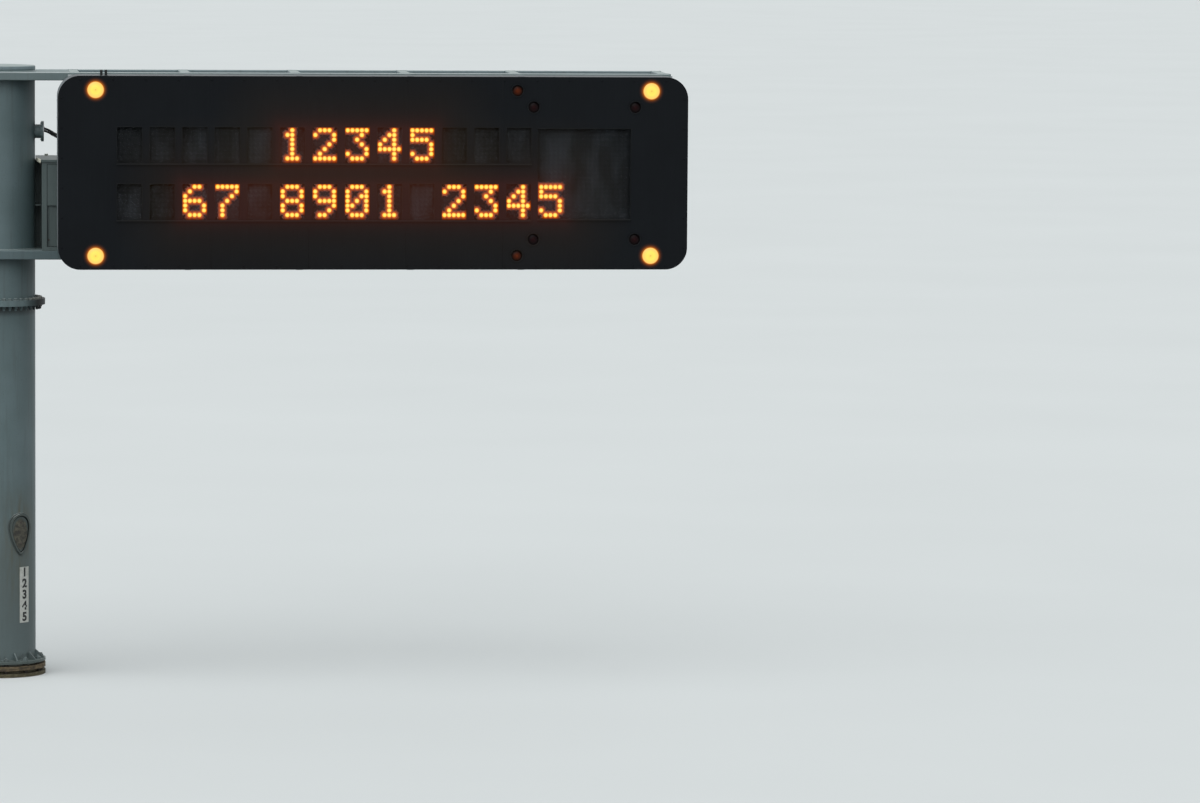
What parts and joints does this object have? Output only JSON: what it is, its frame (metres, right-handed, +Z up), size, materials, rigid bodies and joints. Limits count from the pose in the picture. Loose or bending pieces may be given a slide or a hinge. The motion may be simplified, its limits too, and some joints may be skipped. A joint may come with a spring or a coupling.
{
  "type": "cantilever variable message sign",
  "caption": "Round steel column with bolted flanges carrying a ladder frame and a black display housing cantilevered to one side, with dot windows and corner lanterns.",
  "frame": {"origin": "centre of the anchor plate's underside, on the column's axis", "axes": "+Z up the column, +X along the sign away from the column, -Y is the side that faces the traffic"},
  "size_m": [7.353, 1.456, 6.165],
  "materials": {
    "column_paint": "weathered blue-grey paint, satin, streaked",
    "frame_paint": "light grey paint over galvanising, satin",
    "flange_steel": "rusted thick steel plate, matte",
    "bedding": "dark packing, matte",
    "cover_paint": "grey paint with brown staining, satin",
    "plate_white": "white strip, matte",
    "housing_paint": "light grey powder coat, satin",
    "face_black": "matte black, dusty",
    "sill_grey": "dark grey, edges worn light",
    "pane_glass": "smoked clear plastic, glossy",
    "tray_black": "black circuit tray, matte",
    "amber_lens": "amber lens, lit",
    "orange_lens": "deep orange lens, unlit",
    "red_lens": "dark red lens, unlit",
    "bezel_black": "black moulded bezel, matte",
    "galvanised": "galvanised, dull",
    "black_metal": "black, satin",
    "cabinet_paint": "light grey-green paint, satin",
    "cable_black": "black cable sheath, matte"
  },
  "bodies": {
    "root": {"anchor_plate": "flange_steel", "bedding_ring": "bedding", "foundation_flange": "flange_steel", "packing_ring": "bedding", "base_flange": "column_paint", "base_gussets": "column_paint", "lower_column": "column_paint", "hand_hole_rim": "column_paint", "hand_hole_cover": "cover_paint", "number_plate": "plate_white", "lower_joint_flange": "column_paint", "upper_joint_flange": "column_paint", "upper_column": "column_paint", "column_cap": "frame_paint", "top_front_rail": "frame_paint", "top_rear_rail": "frame_paint", "top_cross_members": "frame_paint", "top_collar_plate": "frame_paint", "bottom_front_rail": "frame_paint", "bottom_rear_rail": "frame_paint", "bottom_cross_members": "frame_paint", "bottom_collar_plate": "frame_paint", "front_posts": "frame_paint", "rear_posts": "frame_paint", "rail_end_plates": "frame_paint", "housing_cleats": "galvanised", "housing_sheets": "housing_paint", "housing_corners": "housing_paint", "back_bands": "housing_paint", "back_mullions": "housing_paint", "rear_doors": "housing_paint", "door_handles": "black_metal", "door_hinges": "galvanised", "vent_covers": "housing_paint", "face_panel": "face_black", "window_sills": "sill_grey", "window_panes": "pane_glass", "display_trays": "tray_black", "corner_lanterns": "amber_lens", "spare_lanterns": "orange_lens", "red_lanterns": "red_lens", "lantern_bezels": "bezel_black", "top_lugs": "black_metal", "equipment_cabinet": "cabinet_paint", "cabinet_cover": "cabinet_paint", "cabinet_doors": "cabinet_paint", "cabinet_bracket": "column_paint", "cable_stub": "column_paint", "sign_cables": "cable_black"}
  },
  "joints": []
}
